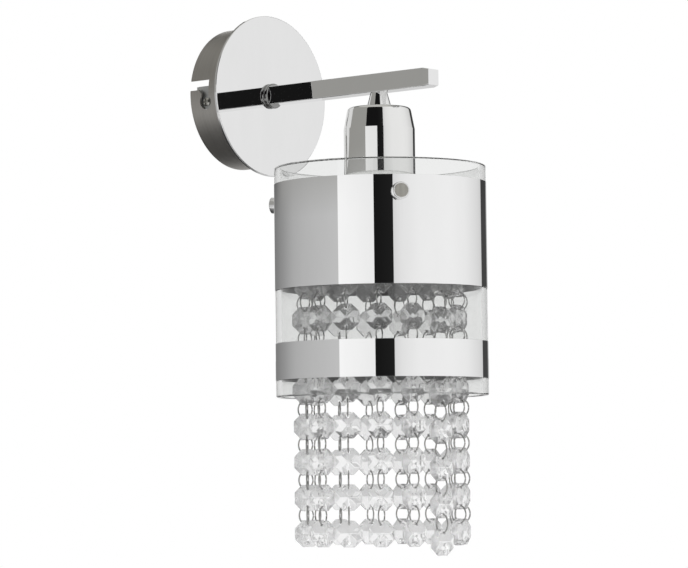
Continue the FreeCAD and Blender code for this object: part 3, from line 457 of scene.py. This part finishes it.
chrome = polished_metal("chrome_plate", (0.88, 0.88, 0.88), 0.02)
disc_mirror = polished_metal("disc_plate", (0.86, 0.86, 0.86), 0.015)
band_mirror = polished_metal("band_plating", (0.92, 0.92, 0.92), 0.008, 0.01, 0.000004)
# The collar is chrome like the arm, but given a far darker colour: painted shade.
collar_chrome_painted_shade = polished_metal("collar_chrome_painted_shade", (0.30, 0.30, 0.295), 0.06, 0.05)
holder_chrome = polished_metal("holder_chrome", (0.86, 0.86, 0.85), 0.03, 0.03)
# The ring wire's colour is far darker than the chrome's: painted shade for the dark surroundings
# its thin rings reflect.
wire = polished_metal("ring_wire", (0.42, 0.42, 0.41), 0.1)
satin_nickel = brushed_metal("satin_nickel", (0.50, 0.485, 0.46), 0.36, (12, 2600, 12))
satin_steel = brushed_metal("satin_steel", (0.60, 0.59, 0.56), 0.22, (900, 60, 900))
spring_steel = brushed_metal("spring_steel", (0.52, 0.52, 0.50), 0.26, (40, 700, 700))
nut_face = brushed_metal("nut_face", (0.50, 0.49, 0.45), 0.34, (800, 800, 60), 0.08, 0.00001)
screw_steel = cast_metal("screw_steel", (0.66, 0.66, 0.63), (0.40, 0.39, 0.36), 0.16)
brass = cast_metal("brass", (0.80, 0.63, 0.33), (0.52, 0.38, 0.17), 0.18)
nickel_brass = cast_metal("nickel_brass", (0.72, 0.70, 0.62), (0.50, 0.46, 0.36), 0.2)
zinc = cast_metal("zinc_plate", (0.60, 0.61, 0.60), (0.44, 0.45, 0.46), 0.28, 260.0)
band_backing = moulded("band_backing", (0.16, 0.16, 0.158), (0.13, 0.13, 0.128), 0.35)
black_plastic = moulded("black_phenolic", (0.022, 0.021, 0.02), (0.045, 0.04, 0.036), 0.25)
ceramic = moulded("glazed_ceramic", (0.85, 0.84, 0.80), (0.74, 0.71, 0.64), 0.12, 1200.0, 0.36)
block_plastic = moulded("block_plastic", (0.80, 0.79, 0.75), (0.74, 0.73, 0.68), 0.42)
wire_sleeve = moulded("wire_sleeve", (0.66, 0.66, 0.63), (0.57, 0.57, 0.53), 0.3, 3200.0)
clear_spacer = moulded("spacer_nylon", (0.82, 0.82, 0.80), (0.76, 0.76, 0.74), 0.3, 1800.0)
shade_glass = clear_glass("shade_glass", (0.84, 0.845, 0.84))
crystal = clear_glass("crystal_glass", (0.965, 0.965, 0.967), 0.86)

set_material(chrome, "arm_tube", "arm_end_plug")
set_material(collar_chrome_painted_shade, "arm_collar")
set_material(holder_chrome, "holder_cone", "holder_cup", "strand_hoop")
set_material(spring_steel, "shade_spider")
set_material(disc_mirror, "canopy_disc")
set_material(satin_nickel, "canopy_drum")
set_material(satin_steel, "shade_fixings")
set_material(screw_steel, "canopy_screws", "terminal_screws")
set_material(brass, "earth_screw", "arm_fixing_nut", "centre_contact")
set_material(nickel_brass, "contact_shell", "holder_fixing")
set_material(zinc, "wall_bracket", "terminal_strap")
set_material(black_plastic, "shade_ring", "lampholder_cap")
set_material(ceramic, "lampholder_body")
set_material(block_plastic, "terminal_block")
set_material(wire_sleeve, "lamp_wires")
set_material(clear_spacer, "shade_spacers")
set_material(shade_glass, "glass_shade")


# ---- finer pieces that stand for CAD nodes ----

def mesh_from(name, verts, faces, smooth_below=None):
    """A mesh, smooth over edges below an angle in degrees."""
    mesh = bpy.data.meshes.new(name)
    mesh.from_pydata(verts, [], faces)
    mesh.validate()
    if smooth_below is not None:
        mesh.shade_smooth()
        mesh.set_sharp_from_angle(angle=math.radians(smooth_below))
    return mesh


def add_piece(name, mesh, body, replaced):
    """A piece that rides on a body and stands for a CAD node."""
    piece = bpy.data.objects.new(name, mesh)
    scene.collection.objects.link(piece)
    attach(piece, body)
    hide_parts(replaced)


def lathe(name, profile, segments=192):
    """A closed outline of (radius, height) turned round the shade's axis."""
    verts, faces = [], []
    count = len(profile)
    for step in range(segments):
        turn = 2 * math.pi * step / segments
        for radius, height in profile:
            verts.append((SHADE_AXIS.x + radius * math.cos(turn),
                          SHADE_AXIS.y + radius * math.sin(turn), height))
        for i in range(count):
            here, there = count * step, count * ((step + 1) % segments)
            after = (i + 1) % count
            faces.append((here + i, here + after, there + after, there + i))
    return mesh_from(name, verts, faces, 35)


def cut_from(mesh, cutter):
    """The mesh less another one."""
    body = bpy.data.objects.new("being_cut", mesh)
    tool = bpy.data.objects.new("cutter", cutter)
    for item in (body, tool):
        scene.collection.objects.link(item)
    cut = body.modifiers.new("cut", "BOOLEAN")
    cut.operation = "DIFFERENCE"
    cut.solver = "EXACT"
    cut.object = tool
    bpy.context.view_layer.update()
    result = bpy.data.meshes.new_from_object(
        body.evaluated_get(bpy.context.evaluated_depsgraph_get()))
    for item in (body, tool):
        bpy.data.objects.remove(item)
    return result


def rod(start, end, radius, sides=32):
    """A closed round bar between two points, as a mesh."""
    along = (end - start).normalized()
    across = along.orthogonal().normalized()
    aside = along.cross(across)
    verts, faces = [], []
    for point in (start, end):
        for step in range(sides):
            turn = 2 * math.pi * step / sides
            verts.append(point + radius * (math.cos(turn) * across + math.sin(turn) * aside))
    for step in range(sides):
        after = (step + 1) % sides
        faces.append((step, after, sides + after, sides + step))
    faces.append(tuple(reversed(range(sides))))
    faces.append(tuple(range(sides, 2 * sides)))
    return mesh_from("rod", verts, faces)


THUMB_NUTS = ("thumb_nut_1", "thumb_nut_2", "thumb_nut_3")


def nut_place(node):
    """A nut's middle, and the line to it from the shade's axis."""
    low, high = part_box(node)
    middle = (low + high) / 2
    return middle, middle - Vector((SHADE_AXIS.x, SHADE_AXIS.y, middle.z))


BAND_SKIN = 0.15 * MM
WIDE_BAND = 57.5 * MM
NARROW_BAND = 19.9 * MM
STUD_HOLE = 5.0 * MM
HOLE_START = 0.8                            # of the way from the axis to the nut
FACING_INWARDS = -0.5                       # cosine


def add_bands():
    """The two mirror bands: bright outside, grey backing inside, holes for the studs."""
    low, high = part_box("mirror_bands")
    outside, inside = high.x, high.x - BAND_SKIN
    soft = BAND_SKIN / 4
    for name, top, base in (("wide_band", high.z, high.z - WIDE_BAND),
                            ("narrow_band", low.z + NARROW_BAND, low.z)):
        mesh = lathe(name, [(inside, top), (outside - soft, top), (outside, top - soft),
                            (outside, base + soft), (outside - soft, base), (inside, base)])
        if name == "wide_band":
            for node in THUMB_NUTS:
                middle, outwards = nut_place(node)
                start = middle - outwards + HOLE_START * outwards
                mesh = cut_from(mesh, rod(start, middle, STUD_HOLE / 2))
        mesh.materials.clear()
        mesh.materials.append(band_mirror)
        mesh.materials.append(band_backing)
        for face in mesh.polygons:
            spoke = face.center - Vector((SHADE_AXIS.x, SHADE_AXIS.y, face.center.z))
            inwards = face.normal.dot(spoke) < FACING_INWARDS * spoke.length
            face.material_index = 1 if inwards else 0
        add_piece(name, mesh, "fixture", "mirror_bands")


PIECE_GAP = 3 * MM


def chain_pieces(node):
    """The pieces of a chain's node, from top to bottom: middle, heading and half sizes."""
    points = sorted((v.co.copy() for v in nodes[node].data.vertices), key=lambda p: -p.z)
    groups = [[points[0]]]
    for point in points[1:]:
        if groups[-1][-1].z - point.z > PIECE_GAP:
            groups.append([])
        groups[-1].append(point)
    found = []
    for group in groups:
        x = sum(p.x for p in group) / len(group)
        y = sum(p.y for p in group) / len(group)
        xx = sum((p.x - x) ** 2 for p in group)
        yy = sum((p.y - y) ** 2 for p in group)
        xy = sum((p.x - x) * (p.y - y) for p in group)
        heading = 0.5 * math.atan2(2 * xy, xx - yy)
        wide = Vector((math.cos(heading), math.sin(heading), 0.0))
        deep = Vector((-wide.y, wide.x, 0.0))
        middle, half = Vector(), []
        for axis in (wide, deep, Vector((0.0, 0.0, 1.0))):
            reach = [p.dot(axis) for p in group]
            middle += axis * (min(reach) + max(reach)) / 2
            half.append((max(reach) - min(reach)) / 2)
        found.append((middle, heading, half))
    return found


def repeat(name, unit, spots, smooth_below=None):
    """Copies of a unit mesh, whose width lies along X, at middles and headings."""
    verts, faces = [], []
    corners = [v.co.copy() for v in unit.vertices]
    outlines = [tuple(f.vertices) for f in unit.polygons]
    for middle, heading, _ in spots:
        place = Matrix.Translation(middle) @ Matrix.Rotation(heading, 4, "Z")
        first = len(verts)
        verts += [place @ corner for corner in corners]
        faces += [tuple(first + i for i in outline) for outline in outlines]
    return mesh_from(name, verts, faces, smooth_below)


RING_STEPS = 44
WIRE_SIDES = 12
JOINT_GAP = 0.14 * MM
JOINT_OFFSET = 0.06 * MM
END_SHARE = 0.94                            # the wire's ends are a little thinner


def ring_unit(ring_radius, wire_radius):
    """A wire ring bent shut: its two ends meet in a hairline joint at its side."""
    verts, faces = [], []
    start = JOINT_GAP / 2 / ring_radius
    end = 2 * math.pi - start
    for step in range(RING_STEPS + 1):
        turn = start + (end - start) * step / RING_STEPS
        spoke = Vector((math.cos(turn), 0.0, math.sin(turn)))
        offset = JOINT_OFFSET * (step / RING_STEPS - 0.5)
        thick = wire_radius * (END_SHARE if step in (0, RING_STEPS) else 1.0)
        for side in range(WIRE_SIDES):
            around = 2 * math.pi * side / WIRE_SIDES
            point = spoke * (ring_radius + thick * math.cos(around))
            verts.append(point + Vector((0.0, thick * math.sin(around) + offset, 0.0)))
        if step:
            here = WIRE_SIDES * step
            back = here - WIRE_SIDES
            for side in range(WIRE_SIDES):
                after = (side + 1) % WIRE_SIDES
                faces.append((back + side, back + after, here + after, here + side))
    faces.append(tuple(reversed(range(WIRE_SIDES))))
    faces.append(tuple(range(WIRE_SIDES * RING_STEPS, WIRE_SIDES * (RING_STEPS + 1))))
    return mesh_from("ring_unit", verts, faces)


CRYSTAL_SIDES = 8
STAR_RADIUS = 4.6 * MM
GIRDLE = 1.8 * MM
CRYSTAL_HOLE = 1.8 * MM
HOLE_PITCH = 9.6 * MM
EDGE_SOFTNESS = 0.14 * MM
HOLE_SIDES = 20


def crystal_unit(half_width, half_depth):
    """An eight-sided crystal cut as a star on both faces, with soft edges and two holes."""
    step = 2 * math.pi / CRYSTAL_SIDES
    corner = half_width / math.cos(step / 2)
    rim = GIRDLE / 2
    fall = (half_depth - rim) * STAR_RADIUS * math.cos(step / 2) / corner

    def spot(radius, turn, depth):
        return (radius * math.sin(turn), depth, radius * math.cos(turn))

    form = bmesh.new()
    for side in (-1, 1):
        form.verts.new((0.0, side * half_depth, 0.0))
        for number in range(CRYSTAL_SIDES):
            form.verts.new(spot(STAR_RADIUS, number * step, side * (half_depth - fall)))
            form.verts.new(spot(corner, (number + 0.5) * step, side * rim))
    bmesh.ops.convex_hull(form, input=form.verts[:])
    bmesh.ops.dissolve_limit(form, angle_limit=math.radians(1.0), verts=form.verts[:],
                             edges=form.edges[:])
    bmesh.ops.bevel(form, geom=form.edges[:], offset=EDGE_SOFTNESS, segments=1, profile=0.5,
                    affect="EDGES")
    bmesh.ops.recalc_face_normals(form, faces=form.faces[:])
    mesh = bpy.data.meshes.new("crystal_unit")
    form.to_mesh(mesh)
    form.free()
    for side in (-1, 1):
        level = side * HOLE_PITCH / 2
        start = Vector((0.0, -2 * half_depth, level))
        end = Vector((0.0, 2 * half_depth, level))
        mesh = cut_from(mesh, rod(start, end, CRYSTAL_HOLE / 2, HOLE_SIDES))
    return mesh


def add_chains():
    """Each chain's rings and crystals, where the CAD's are."""
    chains = sorted(name[:-len("_beads")] for name in nodes if name.endswith("_beads"))
    ring_units = {}
    crystal_form = None
    for chain in chains:
        rings = chain_pieces(chain + "_rings")
        _, wire_radius, outer_radius = rings[0][2]
        size = round(outer_radius / MM, 2)
        if size not in ring_units:
            ring_units[size] = ring_unit(outer_radius - wire_radius, wire_radius)
        mesh = repeat(chain + "_jump_rings", ring_units[size], rings, 40)
        mesh.materials.append(wire)
        add_piece(chain + "_jump_rings", mesh, chain, chain + "_rings")
        beads = chain_pieces(chain + "_beads")
        if crystal_form is None:
            _, half_depth, half_height = beads[0][2]
            crystal_form = crystal_unit(half_height, half_depth)
        mesh = repeat(chain + "_crystals", crystal_form, beads)
        mesh.materials.append(crystal)
        add_piece(chain + "_crystals", mesh, chain, chain + "_beads")


def turned_about(name, profile, origin, axis, sides=64):
    """An outline of (radius, distance along the axis), from axis to axis, turned about it."""
    along = axis.normalized()
    across = along.orthogonal().normalized()
    aside = along.cross(across)
    verts, faces = [], []
    inner = profile[1:-1]
    count = len(inner)
    for step in range(sides):
        turn = 2 * math.pi * step / sides
        spoke = math.cos(turn) * across + math.sin(turn) * aside
        verts += [origin + along * height + spoke * radius for radius, height in inner]
    foot, tip = len(verts), len(verts) + 1
    verts += [origin + along * profile[0][1], origin + along * profile[-1][1]]
    for step in range(sides):
        here, there = count * step, count * ((step + 1) % sides)
        for i in range(count - 1):
            faces.append((here + i, there + i, there + i + 1, here + i + 1))
        faces.append((foot, there, here))
        faces.append((tip, here + count - 1, there + count - 1))
    return mesh_from(name, verts, faces, 30)


NUT_LENGTH = 5.0 * MM
NUT_CHAMFER = 0.3 * MM
FACE_LAYER = 0.2 * MM
# From the nut's side inwards, in millimetres in from the side and below the face: a rounded
# shoulder, a flat rim, a groove and the face's soft edge.
NUT_OUTLINE = [(0.0, 0.9), (0.12, 0.55), (0.4, 0.3), (0.6, 0.3), (0.66, 0.5), (0.78, 0.5),
               (0.84, 0.12), (1.0, 0.0)]


def add_thumb_nuts():
    """Closed nuts: a bright rim round a satin face, which a fine groove sets off."""
    half = NUT_LENGTH / 2
    for node in THUMB_NUTS:
        low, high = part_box(node)
        radius = (high.z - low.z) / 2
        middle, outwards = nut_place(node)
        profile = [(0.0, -half), (radius - NUT_CHAMFER, -half), (radius, -half + NUT_CHAMFER)]
        profile += [(radius - inset * MM, half - depth * MM) for inset, depth in NUT_OUTLINE]
        profile.append((0.0, half))
        mesh = turned_about(node + "_cap", profile, middle, outwards)
        mesh.materials.append(chrome)
        mesh.materials.append(nut_face)
        for face in mesh.polygons:
            height = (face.center - middle).dot(outwards.normalized())
            face.material_index = 1 if height > half - FACE_LAYER else 0
        add_piece(node + "_cap", mesh, node, node)


add_bands()
add_chains()
add_thumb_nuts()

scene.view_settings.view_transform = "Standard"
scene.cycles.max_bounces = 32
scene.cycles.transmission_bounces = 32
scene.cycles.glossy_bounces = 12
scene.cycles.transparent_max_bounces = 16
